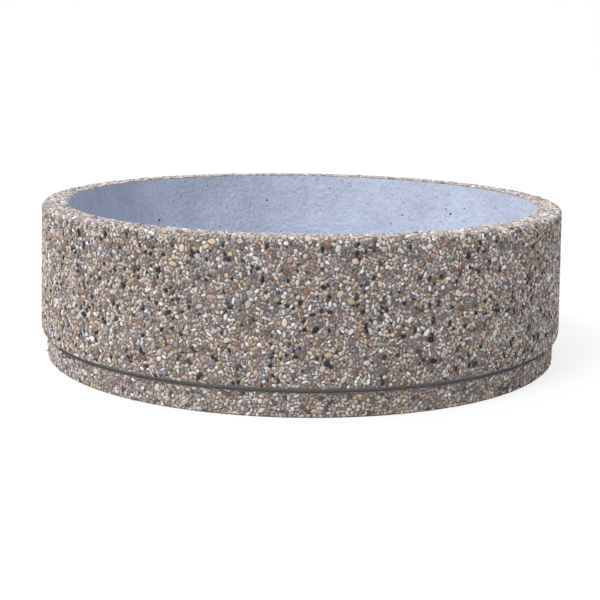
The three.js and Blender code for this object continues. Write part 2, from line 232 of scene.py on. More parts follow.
def closed_skin(name, outline, rows, columns, ends, lift):
    """A closed body turned from an outline, with its ends closed to the axis at two heights.

    lift(points, s) gives how far each point stands out from the outline.
    """
    s = np.asarray(rows)[:, None] * np.ones(columns)
    angle = np.ones((len(rows), 1)) * np.linspace(0, TURN, columns, endpoint=False)
    height = lift(outline.point(angle, s, 0), s)
    points = outline.point(angle, s, height).reshape(-1, 3)
    last = len(points)
    points = np.vstack([points, [[0, 0, ends[0]], [0, 0, ends[1]]]])
    quads = grid_faces(len(rows), columns)
    across = np.arange(columns)
    beside = (across + 1) % columns
    top = last - columns
    low_fan = np.stack([np.full(columns, last), beside, across], -1)
    high_fan = np.stack([np.full(columns, last + 1), top + across, top + beside], -1)
    corners = np.concatenate([quads.ravel(), low_fan.ravel(), high_fan.ravel()])
    sizes = np.concatenate([np.full(len(quads), 4), np.full(2 * columns, 3)])
    return new_piece(name, points, corners, sizes)


def turned(name, loop):
    """A ring turned from a closed (radius, height) loop, which runs anticlockwise."""
    radius, height = np.array(loop).T[:, :, None]
    angle = np.linspace(0, TURN, PIPE_COLUMNS, endpoint=False)
    points = np.stack([radius * np.cos(angle), radius * np.sin(angle), height + 0 * angle], -1)
    corners = grid_faces(len(loop) + 1, PIPE_COLUMNS) % (PIPE_COLUMNS * len(loop))
    return new_piece(name, points.reshape(-1, 3), corners.ravel(), np.full(len(corners), 4))


def copy_of(node, name):
    """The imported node's solid as a new object, with its corners joined."""
    piece = bpy.data.objects.new(name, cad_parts[node].data.copy())
    bpy.context.collection.objects.link(piece)
    work = bmesh.new()
    work.from_mesh(piece.data)
    bmesh.ops.remove_doubles(work, verts=work.verts, dist=0.002 * MM)
    work.to_mesh(piece.data)
    work.free()
    piece.data.attributes.remove(piece.data.attributes["custom_normal"])
    piece.data.materials.clear()
    return piece


def move_corners(piece, points):
    piece.data.vertices.foreach_set("co", points.ravel())
    piece.data.update()


def cut(body, tool, operation="DIFFERENCE"):
    """Cuts the body with a closed tool."""
    modifier = body.modifiers.new("cut", "BOOLEAN")
    modifier.operation = operation
    modifier.solver = "MANIFOLD"
    modifier.object = tool
    seen = body.evaluated_get(bpy.context.evaluated_depsgraph_get())
    old, made = body.data, bpy.data.meshes.new_from_object(seen)
    body.modifiers.clear()
    body.data = made
    bpy.data.meshes.remove(old)


def discard(tool):
    bpy.data.meshes.remove(tool.data)


def smooth_shade(piece, angle=40):
    piece.data.shade_smooth()
    piece.data.set_sharp_from_angle(angle=math.radians(angle))


def place_over(piece, node):
    """Moves a piece that was turned round Z to the middle of a node's box."""
    low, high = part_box(node)
    piece.data.transform(Matrix.Translation(((low.x + high.x) / 2, (low.y + high.y) / 2, 0)))


def face_centres(piece):
    centres = np.zeros(len(piece.data.polygons) * 3, np.float32)
    piece.data.polygons.foreach_get("center", centres)
    return centres.reshape(-1, 3)


def corner_points(piece):
    points = np.zeros(len(piece.data.vertices) * 3, np.float32)
    piece.data.vertices.foreach_get("co", points)
    return points.reshape(-1, 3)


def point_value(piece, name, values):
    layer = piece.data.attributes.new(name, "FLOAT", "POINT")
    layer.data.foreach_set("value", np.asarray(values, np.float32))


def finish_faces(piece, finishes, choice=0):
    """Gives each face one of several finishes, by its number in choice, or all of them the first."""
    piece.data.materials.clear()
    for finish in finishes:
        piece.data.materials.append(finish)
    numbers = np.zeros(len(piece.data.polygons), np.int32) + choice
    piece.data.polygons.foreach_set("material_index", numbers)


# ---------------------------------------------------------------- materials


def colour(red, green, blue):
    """A colour for a shader, from the 0 to 255 values that it has on screen."""
    linear = [((v / 255 + 0.055) / 1.055) ** 2.4 if v > 10 else v / 255 / 12.92 for v in (red, green, blue)]
    return (*linear, 1.0)


class Finish:
    """A material made of nodes that end in its one Principled shader."""

    def __init__(self, name, **sockets):
        self.material = bpy.data.materials.new(name)
        self.material.use_nodes = True
        self.tree = self.material.node_tree
        self.shader = self.tree.nodes["Principled BSDF"]
        for socket, value in sockets.items():
            self.shader.inputs[socket.replace("_", " ")].default_value = value
        self.place = self.node("TexCoord").outputs["Object"]

    def node(self, kind, settings=(), **inputs):
        """A new node. Its inputs are named, or numbered as i0, i1 and so on."""
        made = self.tree.nodes.new("ShaderNode" + kind)
        for key, value in dict(settings).items():
            setattr(made, key, value)
        for key, value in inputs.items():
            numbered = key[0] == "i" and key[1:].isdigit()
            socket = made.inputs[int(key[1:])] if numbered else made.inputs[key]
            if isinstance(value, bpy.types.NodeSocket):
                self.tree.links.new(value, socket)
            else:
                socket.default_value = value
        return made

    def noise(self, size, detail=3.0, place=None):
        """Cloudy noise with features of about a size in metres."""
        made = self.node("TexNoise", Vector=place or self.place, Scale=1 / size, Detail=detail)
        return made.outputs["Fac"]

    def cells(self, size, place=None):
        """Cells of about a size in metres: the distance from a cell's middle, and its own random number."""
        made = self.node("TexVoronoi", Vector=place or self.place, Scale=1 / size)
        split = self.node("SeparateColor", Color=made.outputs["Color"])
        return made.outputs["Distance"], split.outputs["Red"]

    def value(self, name):
        return self.node("Attribute", {"attribute_name": name}).outputs["Fac"]

    def height(self):
        return self.node("SeparateXYZ", Vector=self.place).outputs["Z"]

    def math(self, operation, first, second=0.0, third=0.0):
        return self.node("Math", {"operation": operation}, i0=first, i1=second, i2=third).outputs[0]

    def vector_math(self, operation, first, second):
        return self.node("VectorMath", {"operation": operation}, i0=first, i1=second).outputs[0]

    def step(self, value, low, high, to_low=0.0, to_high=1.0):
        """The value's place between two marks, smoothly, as a number from to_low to to_high."""
        settings = {"interpolation_type": "SMOOTHSTEP"}
        made = self.node("MapRange", settings, i0=value, i1=low, i2=high, i3=to_low, i4=to_high)
        return made.outputs[0]

    def ramp(self, value, stops):
        made = self.node("ValToRGB", Fac=value)
        band = made.color_ramp
        while len(band.elements) < len(stops):
            band.elements.new(0.5)
        for i, (mark, shade) in enumerate(stops):
            band.elements[i].position = mark
            band.elements[i].color = shade
        return made.outputs["Color"]

    def mix(self, share, first, second, blend="MIX"):
        settings = {"data_type": "RGBA", "blend_type": blend}
        return self.node("Mix", settings, i0=share, i6=first, i7=second).outputs[2]

    def shade(self, base, value, low, high):
        """The colour made lighter or darker by a value from 0 to 1, between two factors."""
        grey = self.ramp(value, [(0.25, (low, low, low, 1)), (0.75, (high, high, high, 1))])
        return self.mix(1.0, base, grey, "MULTIPLY")

    def bump(self, height, distance, strength=1.0, under=None):
        made = self.node("Bump", Strength=strength, Distance=distance, Height=height)
        if under is not None:
            self.tree.links.new(under, made.inputs["Normal"])
        return made.outputs["Normal"]

    def wear(self, **sockets):
        """Links outputs to the shader's sockets, and gives the material."""
        for socket, output in sockets.items():
            self.tree.links.new(output, self.shader.inputs[socket.replace("_", " ")])
        return self.material


# Pebble families: weight in the mix, shades along a stone's tone, mottling, dark specks, roughness.
PEBBLES = {
    "milky_quartz": (0.10, [(232, 228, 228), (212, 206, 206), (246, 243, 242)], 0.12, 0.20, 0.42),
    "pale_limestone": (0.12, [(209, 201, 194), (189, 181, 173), (223, 215, 205)], 0.18, 0.30, 0.62),
    "mid_grey": (0.12, [(165, 159, 157), (143, 137, 135), (186, 180, 176)], 0.20, 0.45, 0.62),
    "dove_grey": (0.10, [(148, 142, 142), (170, 163, 162), (128, 123, 124)], 0.22, 0.45, 0.60),
    "warm_taupe": (0.13, [(164, 147, 134), (140, 124, 113), (185, 168, 153)], 0.20, 0.40, 0.60),
    "buff": (0.12, [(212, 197, 178), (190, 173, 154), (226, 213, 197)], 0.16, 0.25, 0.55),
    "honey": (0.055, [(198, 169, 133), (178, 147, 113), (213, 192, 161)], 0.24, 0.30, 0.50),
    "russet": (0.06, [(148, 113, 95), (120, 93, 82), (170, 133, 112)], 0.24, 0.30, 0.58),
    "rose": (0.08, [(202, 173, 162), (176, 145, 137), (217, 195, 185)], 0.18, 0.25, 0.56),
    "slate": (0.06, [(126, 127, 132), (106, 107, 113), (146, 148, 154)], 0.18, 0.30, 0.55),
    "basalt": (0.08, [(58, 57, 62), (40, 40, 47), (86, 81, 81)], 0.22, 0.15, 0.50),
}

CEMENT = (118, 107, 101)
FLANK_FILM_AND_SHADE = (88, 80, 76)  # cement left on a pebble's flank, darker than the cement as painted shade in the crevices
SPECK = (70, 64, 60)
LIME_BLOOM_AND_LIGHT = (214, 210, 211)  # lime on the rim's pebbles, and painted light on their tops
PALE_DUST_AND_LIGHT = (206, 196, 188)  # pale dust on the foot's pebbles, and painted light that lifts the shade under the bowl's overhang
RIM_BLOOM_AND_LIGHT, RIM_PALER_AND_LIT = 0.20, 0.12  # how much lime bloom and painted light the rim's pebbles have, and how much paler weathering and painted light from above make them
# how much of the pale dust and painted light the foot's pebbles get
FOOT_DUST_AND_LIGHT = 0.13


def pebble_finish(name, shades, mottle, specks, roughness):
    """Washed river stones of one family. Each stone has its own tone and its own place in the noise."""
    finish = Finish(name, Roughness=roughness, Specular_IOR_Level=0.2)
    tone, seed, rise = finish.value("tone"), finish.value("seed"), finish.value("rise")
    shift = finish.node("CombineXYZ", X=seed, Y=finish.math("MULTIPLY", seed, 2.3), Z=tone)
    place = finish.vector_math("ADD", finish.place, shift.outputs[0])
    marks = np.linspace(0.1, 0.9, len(shades))
    base = finish.ramp(tone, [(mark, colour(*shade)) for mark, shade in zip(marks, shades)])
    cloud = finish.noise(3.2 * MM, 4.0, place)
    grain = finish.noise(0.7 * MM, 2.0, place)
    base = finish.shade(base, cloud, 1 - mottle, 1 + mottle)
    speck = finish.step(grain, 0.60, 0.72, 0.0, specks)
    base = finish.mix(speck, base, colour(*SPECK))
    # Cement film and painted shade: each stone's low flank darkens towards the crevice around it.
    film = finish.step(rise, 0.05, 0.42, 0.85, 0.0)
    base = finish.mix(film, base, colour(*FLANK_FILM_AND_SHADE))
    # Painted light and weathering: towards the top, the rim's pebbles turn paler and take a lime bloom,
    # partly standing in for the light from above.
    rim_wear_and_light = finish.step(finish.height(), HEIGHT - 14 * MM, HEIGHT - 2 * MM)
    base = finish.mix(finish.math("MULTIPLY", rim_wear_and_light, RIM_BLOOM_AND_LIGHT), base, colour(*LIME_BLOOM_AND_LIGHT))
    base = finish.mix(1.0, base, finish.math("MULTIPLY_ADD", rim_wear_and_light, RIM_PALER_AND_LIT, 1.0), "MULTIPLY")
    # Painted light and dust: the foot's pebbles are made paler to lift the shade under the bowl's overhang.
    foot_dust_and_light = finish.step(finish.height(), PLINTH_TOP - 1 * MM, PLINTH_TOP, FOOT_DUST_AND_LIGHT, 0.0)
    base = finish.mix(foot_dust_and_light, base, colour(*PALE_DUST_AND_LIGHT))
    normal = finish.bump(grain, 0.2 * MM, 0.7, finish.bump(cloud, 1.2 * MM, 0.8))
    rough = finish.step(cloud, 0.3, 0.7, roughness - 0.08, roughness + 0.12)
    return finish.wear(Base_Color=base, Roughness=rough, Normal=normal)


def matrix_finish():
    """The cement between the pebbles, washed back to its sand and grit, and darker over the joint."""
    finish = Finish("pebble_cement", Roughness=0.9, Specular_IOR_Level=0.3)
    sand = finish.noise(0.9 * MM)
    patch = finish.noise(60 * MM)
    distance, grain = finish.cells(1.9 * MM)
    stops = [(0.3, colour(88, 84, 82)), (0.5, colour(*CEMENT)), (0.72, colour(160, 152, 146))]
    base = finish.ramp(sand, stops)
    stops = [
        (0.1, colour(84, 78, 76)),
        (0.4, colour(150, 138, 126)),
        (0.7, colour(176, 164, 150)),
        (0.9, colour(206, 198, 188)),
    ]
    round_grain = finish.step(distance, 0.30, 0.52, 0.75, 0.0)
    base = finish.mix(round_grain, base, finish.ramp(grain, stops))
    base = finish.shade(base, patch, 0.9, 1.08)
    strip = finish.step(finish.height(), STRIP[0] - 5 * MM, STRIP[0] + 1 * MM, 0.75, 0.0)
    low = finish.step(finish.height(), BOWL_BOTTOM - 2 * MM, BOWL_BOTTOM)
    strip = finish.math("MULTIPLY", strip, low)
    base = finish.mix(strip, base, colour(104, 103, 102))
    normal = finish.bump(round_grain, 0.5 * MM, 0.8, finish.bump(sand, 0.5 * MM, 0.8))
    rough = finish.step(sand, 0.3, 0.7, 0.82, 0.97)
    return finish.wear(Base_Color=base, Roughness=rough, Normal=normal)


def cast_cement(name, shade, hole_shade):
    """Smooth cement from a mould: cloudy, flecked and pitted, with painted light and shade of small dents
    in its flecks, and painted shade in its air holes and pits.
    """
    finish = Finish(name, Roughness=0.8, Specular_IOR_Level=0.3)
    cloud = finish.noise(110 * MM, 4.0)
    patch = finish.noise(24 * MM, 4.0)
    fine = finish.noise(5 * MM, 4.0)
    peel = finish.noise(11 * MM)
    base = finish.shade(colour(*shade), cloud, 0.86, 1.12)
    base = finish.shade(base, patch, 0.93, 1.07)
    # Colour flecks and pale spots, partly painted shade and light of the wall's small dents.
    fleck_and_dent_shade = finish.step(fine, 0.58, 0.68, 0.0, 0.58)
    base = finish.mix(fleck_and_dent_shade, base, colour(*[v * 0.74 for v in shade]))
    pale_and_dent_light = finish.step(fine, 0.30, 0.40, 0.45, 0.0)
    base = finish.mix(pale_and_dent_light, base, colour(224, 227, 236))
    # Painted shade: small dark pits in a share of the cells stand in for tiny air holes; they also dent the
    # bump.
    flat = finish.vector_math("MULTIPLY", finish.place, (1, 1, 1.8))
    distance, chosen = finish.cells(10 * MM, flat)
    pit_shade = finish.step(distance, 0.08, 0.17, 1.0, 0.0)
    pit_shade = finish.math("MULTIPLY", pit_shade, finish.step(chosen, 0.50, 0.95, 0.0, 0.85))
    base = finish.mix(pit_shade, base, colour(*hole_shade))
    # Painted shade: the deeper a corner lies in a real air hole, the nearer it comes to the hole's dark
    # colour.
    base = finish.mix(finish.step(finish.value("depth"), 0.2, 0.8), base, colour(*hole_shade))
    smooth = finish.math("SUBTRACT", 1.0, pit_shade)
    normal = finish.bump(fine, 1.8 * MM, 0.9, finish.bump(peel, 4.5 * MM, 0.9))
    normal = finish.bump(smooth, 1.0 * MM, 1.0, normal)
    rough = finish.step(patch, 0.3, 0.7, 0.72, 0.9)
    return finish.wear(Base_Color=base, Roughness=rough, Normal=normal)


def mortar_finish():
    """The grey, sandy edge of the mortar bed, struck with a jointer."""
    finish = Finish("struck_mortar", Roughness=0.85)
    sand = finish.noise(1.2 * MM)
    streak = finish.noise(40 * MM)
    base = finish.ramp(sand, [(0.3, colour(110, 109, 108)), (0.7, colour(147, 146, 145))])
    base = finish.shade(base, streak, 0.85, 1.12)
    rough = finish.step(sand, 0.3, 0.7, 0.78, 0.94)
    return finish.wear(Base_Color=base, Roughness=rough, Normal=finish.bump(sand, 0.4 * MM, 0.8))


def steel_finish():
    """Reinforcing steel with a film of rust."""
    finish = Finish("rusted_steel", Roughness=0.7)
    patch = finish.noise(14 * MM, 5.0)
    grain = finish.noise(1.5 * MM)
    stops = [(0.35, colour(78, 74, 72)), (0.5, colour(104, 72, 54)), (0.7, colour(142, 84, 50))]
    base = finish.shade(finish.ramp(patch, stops), grain, 0.85, 1.15)
    metal = finish.step(patch, 0.35, 0.55, 0.9, 0.1)
    rough = finish.step(patch, 0.35, 0.6, 0.45, 0.9)
    normal = finish.bump(grain, 0.3 * MM, 0.8)
    return finish.wear(Base_Color=base, Metallic=metal, Roughness=rough, Normal=normal)


def zinc_finish():
    """Zinc-plated steel with a faint spangle."""
    finish = Finish("zinc_plate", Metallic=1.0, Roughness=0.4)
    spangle, _ = finish.cells(5 * MM)
    grain = finish.noise(1 * MM)
    base = finish.ramp(spangle, [(0.1, colour(172, 176, 178)), (0.8, colour(198, 200, 200))])
    rough = finish.step(spangle, 0.1, 0.7, 0.32, 0.5)
    return finish.wear(Base_Color=base, Roughness=rough, Normal=finish.bump(grain, 0.1 * MM, 0.5))


def plastic_finish(name, shade, dust, roughness):
    """Moulded plastic with cement dust on it."""
    finish = Finish(name, Roughness=roughness)
    film = finish.noise(9 * MM, 5.0)
    grain = finish.noise(0.8 * MM, 2.0)
    powder = finish.step(film, 0.40, 0.68, 0.0, dust)
    base = finish.mix(powder, colour(*shade), colour(176, 178, 180))
    rough = finish.step(film, 0.35, 0.7, roughness, 0.85)
    return finish.wear(Base_Color=base, Roughness=rough, Normal=finish.bump(grain, 0.08 * MM, 0.6))


# ---------------------------------------------------------------- pebbles

# Kinds of pebble by size: sides, least and greatest mean radius, height over the cement, how many
# for each square metre, and how much of its outline a stone keeps free of the others.
KINDS = (
    (12, 5.2 * MM, 7.4 * MM, 3.0 * MM, 500, 0.80),
    (9, 3.4 * MM, 5.0 * MM, 2.8 * MM, 9500, 0.74),
    (7, 2.4 * MM, 3.3 * MM, 2.3 * MM, 10000, 0.72),
    (6, 1.6 * MM, 2.2 * MM, 1.6 * MM, 7000, 0.72),
)
CELL = 0.6 * MM  # of the grid that keeps account of the room left
SHAPES = 48  # outlines that the placing tries for each kind
LOWEST, LEAN = 0.62, 0.13  # a stone's least height as a share of its kind's, and its top's usual slope
ROUNDS = 14  # passes over the room left, for each kind
LARGEST_ON_STRIP = 3.4 * MM  # mean radius of a stone just over the joint
STRIP_BARE = 0.3  # share of the small stones that stay out of there too
BODY_MARGINS = (4 * MM, 2 * MM)  # bare at the outline's start and end
SIDE_MARGINS = (-1.5 * MM, 0.5 * MM)  # at the ground a stone may run past it


def footprints(least, most, keep, rng):
    """Ellipses of one kind: half length, half width, turn, and the cells that they keep and cover."""
    made = []
    for _ in range(SHAPES):
        radius = rng.uniform(least, most)
        long = radius * rng.uniform(1.0, 1.55)
        short = radius * radius / long
        turn = rng.uniform(0, math.pi)
        reach = int(long / CELL) + 1
        y, x = np.mgrid[-reach : reach + 1, -reach : reach + 1] * CELL
        along = x * math.cos(turn) + y * math.sin(turn)
        over = -x * math.sin(turn) + y * math.cos(turn)
        inside = np.hypot(along / long, over / short)
        kept, covered = [
            (x[inside < share], np.rint(y[inside < share] / CELL).astype(int)) for share in (keep, 1.0)
        ]
        made.append((long, short, turn, kept, covered))
    return made


class Room:
    """A grid over an outline's surface, which knows what the stones on it cover."""

    def __init__(self, outline):
        self.rows = int(outline.length / CELL)
        self.columns = int(TURN * outline.r.min() / CELL)
        self.taken = np.zeros((self.rows, self.columns), bool)

    def under(self, row, column, cells, r):
        """Where a stone's cells lie on the grid, with its middle at a row and column of radius r."""
        across = np.rint(cells[0] * (self.columns / (TURN * r))).astype(int)
        return (row + cells[1]).clip(0, self.rows - 1), (column + across) % self.columns


def scatter(outline, margins, stays_out, seed):
    """Lays pebbles side by side on an outline's surface, the largest first and the rest in the gaps.

    margins are what the outline's two ends keep bare. stays_out(z, radius, rng) says where a stone
    of a mean radius isn't laid. Each stone is (kind, s, angle, long, short, turn).
    """
    rng = np.random.default_rng(seed)
    room = Room(outline)
    area = float(np.sum(outline.r) * outline.STEP * TURN)
    stones = []
    for kind, (_, least, most, _, wanted, keep) in enumerate(KINDS):
        shapes = footprints(least, most, keep, rng)
        left = int(wanted * area)
        for _ in range(ROUNDS):
            free = np.flatnonzero(~room.taken)
            if left <= 0 or len(free) == 0:
                break
            for cell in rng.choice(free, min(left, len(free)), replace=False):
                row, column = divmod(int(cell), room.columns)
                long, short, turn, kept, covered = shapes[rng.integers(SHAPES)]
                s = (row + 0.5) * CELL
                r, z = np.interp(s, outline.s, outline.r), np.interp(s, outline.s, outline.z)
                up = math.hypot(long * math.sin(turn), short * math.cos(turn))
                if s - up < margins[0] or s + up > outline.length - margins[1]:
                    continue
                if stays_out(z, math.sqrt(long * short), rng):
                    continue
                if room.taken[room.under(row, column, kept, r)].any():
                    continue
                room.taken[room.under(row, column, covered, r)] = True
                stones.append((kind, s, TURN * (column + 0.5) / room.columns, long, short, turn))
                left -= 1
                if left <= 0:
                    break
    return np.array(stones)


def off_the_strip(z, radius, rng):
    """Just over the joint there are fewer stones, and only small ones."""
    return z < STRIP[0] + 1 * MM and (radius > LARGEST_ON_STRIP or rng.uniform() < STRIP_BARE)


def nowhere(z, radius, rng):
    return False


def stone_points(outline, stones, sides, tallest, rng):
    """Points of stones of one kind: the top, two rings of the dome, a ring and a centre in the cement."""
    count = len(stones)
    _, s, angle, long, short, turn = stones.T[:, :, None]
    t = TURN * (np.arange(sides) + rng.uniform(-0.22, 0.22, (count, sides))) / sides
    wobble = np.ones((count, sides))
    for beats in (2, 3, 4):
        wobble += rng.uniform(0, 0.11, (count, 1)) * np.cos(beats * t + rng.uniform(0, TURN, (count, 1)))
    along, over = long * np.cos(t) * wobble, short * np.sin(t) * wobble
    x = along * np.cos(turn) - over * np.sin(turn)
    y = along * np.sin(turn) + over * np.cos(turn)

    r, z, out_r, out_z, relief = outline.at(s)
    around = np.concatenate([-np.sin(angle), np.cos(angle), 0 * angle], 1)[:, None]
    out = np.concatenate([out_r * np.cos(angle), out_r * np.sin(angle), out_z], 1)[:, None]
    up = np.concatenate([-out_z * np.cos(angle), -out_z * np.sin(angle), out_r], 1)[:, None]
    base = outline.point(angle[:, 0], s[:, 0], -relief[:, 0])[:, None]
    height = np.minimum(tallest * rng.uniform(LOWEST, 1.0, (count, 1)), relief)
    lean_x, lean_y = rng.normal(0, LEAN, (2, count, 1))

    def dome(share, level):
        """A ring at a share of the stone's outline and of its height."""
        shift = rng.uniform(-0.05, 0.05, (count, 1)) * long
        lift = np.minimum(height * level + (lean_x * x + lean_y * y) * share, relief)
        lift *= rng.uniform(0.94, 1.0, lift.shape)
        side = (x * share + shift)[..., None] * around + (y * share + shift)[..., None] * up
        return base + side + lift[..., None] * out

    top = base + (height * rng.uniform(0.97, 1.0, (count, 1)))[..., None] * out
    inner = dome(0.60, 0.90)
    outer = dome(0.93, 0.50)
    foot_angle, foot_s = angle + 0.97 * x / r, s + 0.97 * y
    foot_relief = np.interp(foot_s, outline.s, outline.relief)
    foot = outline.point(foot_angle, foot_s, -foot_relief - EMBEDDED)
    middle = base - (1.6 * EMBEDDED) * out
    return np.concatenate([top, inner, outer, foot, middle], 1)


def stone_faces(sides):
    """One stone's faces: corner numbers, face sizes, and each corner's place on its texture tile."""
    k = np.arange(sides)
    after = (k + 1) % sides
    inner, outer, foot, middle = 1, 1 + sides, 1 + 2 * sides, 1 + 3 * sides
    cap = np.stack([0 * k, inner + k, inner + after], 1)
    shoulder = np.stack([inner + k, outer + k, outer + after, inner + after], 1)
    flank = np.stack([outer + k, foot + k, foot + after, outer + after], 1)
    under = np.stack([0 * k + middle, foot + after, foot + k], 1)
    corners = np.concatenate([part.ravel() for part in (cap, shoulder, flank, under)])
    sizes = np.repeat([3, 4, 4, 3], sides)
    reach = np.concatenate([[0], np.repeat([0.2, 0.36, 0.44], sides), [0.49]])[corners]
    turn = TURN * np.concatenate([[0], k, k, k, [0]])[corners] / sides
    turn[-3 * sides :: 3] = TURN * (k + 0.5) / sides
    return corners, sizes, np.stack([reach * np.cos(turn), reach * np.sin(turn)], 1)


def lay_pebbles(outlines, laid):
    """Makes one piece for each family of pebble, out of the stones laid on the outlines."""
    rng = np.random.default_rng(41)
    shares = np.array([family[0] for family in PEBBLES.values()])
    families = [rng.choice(len(PEBBLES), len(stones), p=shares / shares.sum()) for stones in laid]
    for number, (name, (_, shades, mottle, specks, roughness)) in enumerate(PEBBLES.items()):
        batches = []
        for outline, stones, family in zip(outlines, laid, families):
            for kind, (sides, _, _, tallest, _, _) in enumerate(KINDS):
                chosen = stones[(family == number) & (stones[:, 0] == kind)]
                if len(chosen):
                    batches.append((sides, stone_points(outline, chosen, sides, tallest, rng)))
        piece = pebble_piece("pebbles_" + name, batches, rng)
        piece.data.materials.append(pebble_finish(name, shades, mottle, specks, roughness))
        dress(piece, "exposed_aggregate", "facing_wall", "plinth")


def within_limits(points):
    """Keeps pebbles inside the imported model's outline, and off the smooth inside wall."""
    reach = np.hypot(points[:, 0], points[:, 1])
    wall = inside_radius(points[:, 2]) + SKIN
    wall += np.where(points[:, 2] < HEIGHT - RELIEF, 1.0 * MM, 0)
    points[:, :2] *= (reach.clip(wall, BODY_RADIUS - CLEAR) / reach)[:, None]
    points[:, 2] = points[:, 2].clip(0.3 * MM, HEIGHT - CLEAR)
    return points


def pebble_piece(name, batches, rng):
    """One mesh of all the stones in batches of (sides, points of each stone)."""
    total = sum(len(points) for _, points in batches)
    tiles = math.ceil(math.sqrt(total))
    points, corners, sizes, textures, tones, seeds, rises = [], [], [], [], [], [], []
    first_point = first_stone = 0
    for sides, stones in batches:
        count, size = stones.shape[:2]
        face_corners, face_sizes, on_tile = stone_faces(sides)
        start = first_point + np.arange(count)[:, None] * size
        tile_y, tile_x = np.divmod(first_stone + np.arange(count), tiles)
        centre = np.stack([tile_x, tile_y], 1)[:, None] + 0.5
        points.append(stones.reshape(-1, 3))
        corners.append((start + face_corners).ravel())
        sizes.append(np.tile(face_sizes, count))
        textures.append(((centre + on_tile) / tiles).reshape(-1, 2))
        tones.append(np.repeat(rng.uniform(0, 1, count), size))
        seeds.append(np.repeat(rng.uniform(0, 1, count), size))
        rise = np.concatenate([[1], np.repeat([0.9, 0.45, 0.0], sides), [0.0]])
        rises.append(np.tile(rise, count))
        first_point += count * size
        first_stone += count
    points = within_limits(np.concatenate(points))
    piece = new_piece(name, points, np.concatenate(corners), np.concatenate(sizes))
    layer = piece.data.uv_layers.new(name="OFBake")
    layer.data.foreach_set("uv", np.concatenate(textures).astype(np.float32).ravel())
    for attribute, values in (("tone", tones), ("seed", seeds), ("rise", rises)):
        point_value(piece, attribute, np.concatenate(values))
    return piece


# ---------------------------------------------------------------- concrete


def dress(piece, slot, *nodes):
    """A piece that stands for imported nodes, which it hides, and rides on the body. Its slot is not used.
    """
    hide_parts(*nodes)
    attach(piece, "root")


CEMENT_ROW = 4.6 * MM  # between two rows on a straight stretch
CLOSER_IN_BENDS = 12 * MM  # a bend of this radius has them twice as close


def cement_rows(outline):
    """Lengths along an outline, closer together where it bends."""
    bend = np.abs(np.gradient(np.unwrap(np.arctan2(outline.out_z, outline.out_r)), outline.s))
    pace = np.cumsum(1 + bend * CLOSER_IN_BENDS)
    count = int(pace[-1] * outline.STEP / CEMENT_ROW)
    return np.interp(np.linspace(pace[0], pace[-1], count), pace, outline.s)


def matrix_skin(outline, ends, seed):
    """The cement's own surface behind the pebbles, as a closed body to cut the solid with."""
    rng = np.random.default_rng(seed)

    def lift(points, s):
        relief = np.interp(s, outline.s, outline.relief)
        rough = ripple(points, 9 * MM, rng) * 0.09 + ripple(points, 30 * MM, rng) * 0.06
        return -relief * (1 + rough)

    return closed_skin("skin", outline, cement_rows(outline), WALL_COLUMNS, ends, lift)


FLOOR_ROW, INSIDE_ROW = 14 * MM, 4.4 * MM  # between two rows on the floor and on the wall
ROUND_MIDDLE = (12 * MM, 110 * MM)  # the floor's rows open out between these lengths
WALL_ROWS_FROM = 464 * MM  # along the outline, just before the fillet


def cavity_skin():
    """The inside of the bowl as cast: a faint hammered ripple, a little into the concrete."""
    outline = cavity_outline()
    rng = np.random.default_rng(7)
    middle = np.geomspace(*ROUND_MIDDLE, 12)
    floor = np.arange(ROUND_MIDDLE[1] + FLOOR_ROW, WALL_ROWS_FROM - 4 * MM, FLOOR_ROW)
    wall = np.arange(WALL_ROWS_FROM, outline.length, INSIDE_ROW)
    rows = np.concatenate([[0], middle, floor, wall, [outline.length]])

    def lift(points, s):
        wide = ripple(points, 60 * MM, rng) * 0.20 * MM
        hammered = ripple(points, 15 * MM, rng) * 0.24 * MM
        return SKIN + (wide + hammered).clip(-0.75 * MM, 0.9 * MM)

    ends = (FLOOR_TOP - SKIN, outline.z[-1])
    return closed_skin("cavity", outline, rows, CAVITY_COLUMNS, ends, lift)


# Air holes in the inside wall: how many, least and greatest radius, and how far a hole's middle
# stands out of the wall, as a share of its radius. The last kind are shallow dents.
HOLES = (
    (14, 2.2 * MM, 3.0 * MM, -0.1),
    (90, 1.5 * MM, 2.1 * MM, -0.1),
    (330, 0.9 * MM, 1.4 * MM, 0.1),
    (760, 3.0 * MM, 5.6 * MM, 0.78),
)


def air_holes():
    """Small hollows in the inside wall, as one set of blobs to cut it with."""
    rng = np.random.default_rng(23)
    work = bmesh.new()
    bmesh.ops.create_icosphere(work, subdivisions=2, radius=1.0)
    ball = np.array([v.co[:] for v in work.verts])
    triangles = np.array([[v.index for v in face.verts] for face in work.faces])
    work.free()
    outline = cavity_outline()
    low, high = np.interp([FLOOR_TOP + 12 * MM, CORE_TOP - 4 * MM], outline.z, outline.s)
    placed, points = [], []
    for count, least, most, proud in HOLES:
        while count:
            s, angle, radius = rng.uniform(low, high), rng.uniform(0, TURN), rng.uniform(least, most)
            r = np.interp(s, outline.s, outline.r)
            if any(math.hypot(s - p, (angle - q) * r) < 2.2 * (radius + other) for p, q, other in placed):
                continue
            placed.append((s, angle, radius))
            count -= 1
            stretch = radius * rng.uniform((0.9, 0.7, 0.9), (1.6, 1.1, 1.2))
            _, _, out_r, out_z, _ = outline.at(s)
            out = np.array([out_r * math.cos(angle), out_r * math.sin(angle), out_z])
            around = np.array([-math.sin(angle), math.cos(angle), 0])
            axes = np.stack([around, np.cross(out, around), out])
            wobble = 1 + ripple(ball, 1.6, rng)[:, None] * 0.10
            middle = outline.point(angle, s, SKIN - proud * stretch[2])
            points.append(middle + (ball * wobble * stretch) @ axes)
    corners = (np.arange(len(points))[:, None] * len(ball) + triangles.ravel()).ravel()
    return new_piece("air_holes", np.concatenate(points), corners, np.full(len(corners) // 3, 3))


